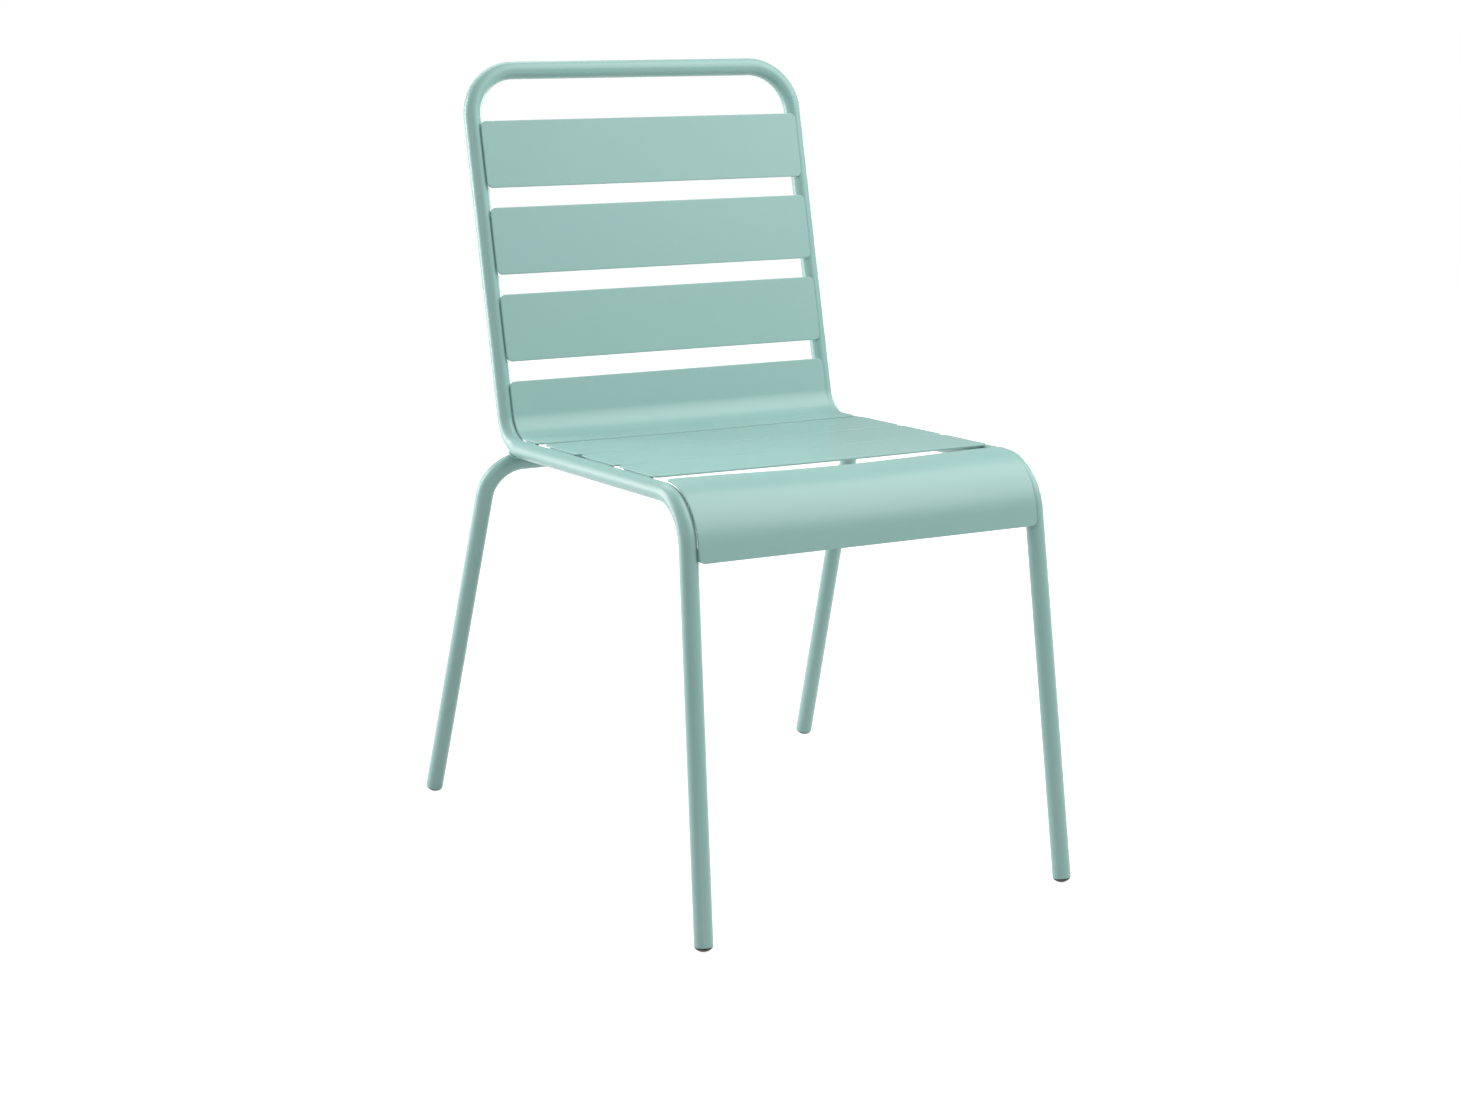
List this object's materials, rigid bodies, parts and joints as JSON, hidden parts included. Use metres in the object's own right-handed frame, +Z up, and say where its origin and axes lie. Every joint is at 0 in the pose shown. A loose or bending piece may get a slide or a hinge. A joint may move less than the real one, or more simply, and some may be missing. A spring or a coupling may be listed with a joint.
{
  "type": "stacking chair",
  "caption": "Armless stacking chair: one bent steel tube forms front legs, seat rails and back hoop, with a bent rear leg tube and welded flat sheet slats.",
  "frame": {"origin": "on the floor, under the centre of the bounding box", "axes": "+Z up, -Y the way the chair faces, +X the left side of someone sitting in it"},
  "size_m": [0.5336, 0.6221, 0.855],
  "materials": {
    "tube_powder_coat": "satin sage green powder coat, fine orange peel",
    "slat_powder_coat": "satin sage green powder coat on flat sheet",
    "weld_powder_coat": "rippled weld bead under the same powder coat",
    "plug_plastic": "dark grey moulded plastic, lightly scuffed"
  },
  "bodies": {
    "root": {"main_frame_tube": "tube_powder_coat", "rear_leg_tube": "tube_powder_coat", "back_slat_upper": "slat_powder_coat", "back_slat_middle": "slat_powder_coat", "back_slat_lower": "slat_powder_coat", "lumbar_sheet": "slat_powder_coat", "seat_slat_rear": "slat_powder_coat", "seat_slat_middle": "slat_powder_coat", "seat_slat_front": "slat_powder_coat", "front_edge_sheet": "slat_powder_coat", "back_slat_welds": "weld_powder_coat", "seat_slat_welds": "weld_powder_coat", "lumbar_sheet_welds": "weld_powder_coat", "front_edge_sheet_welds": "weld_powder_coat", "rear_leg_welds": "weld_powder_coat", "foot_plug_front_right": "plug_plastic", "foot_plug_front_left": "plug_plastic", "foot_plug_rear_right": "plug_plastic", "foot_plug_rear_left": "plug_plastic"}
  },
  "joints": []
}
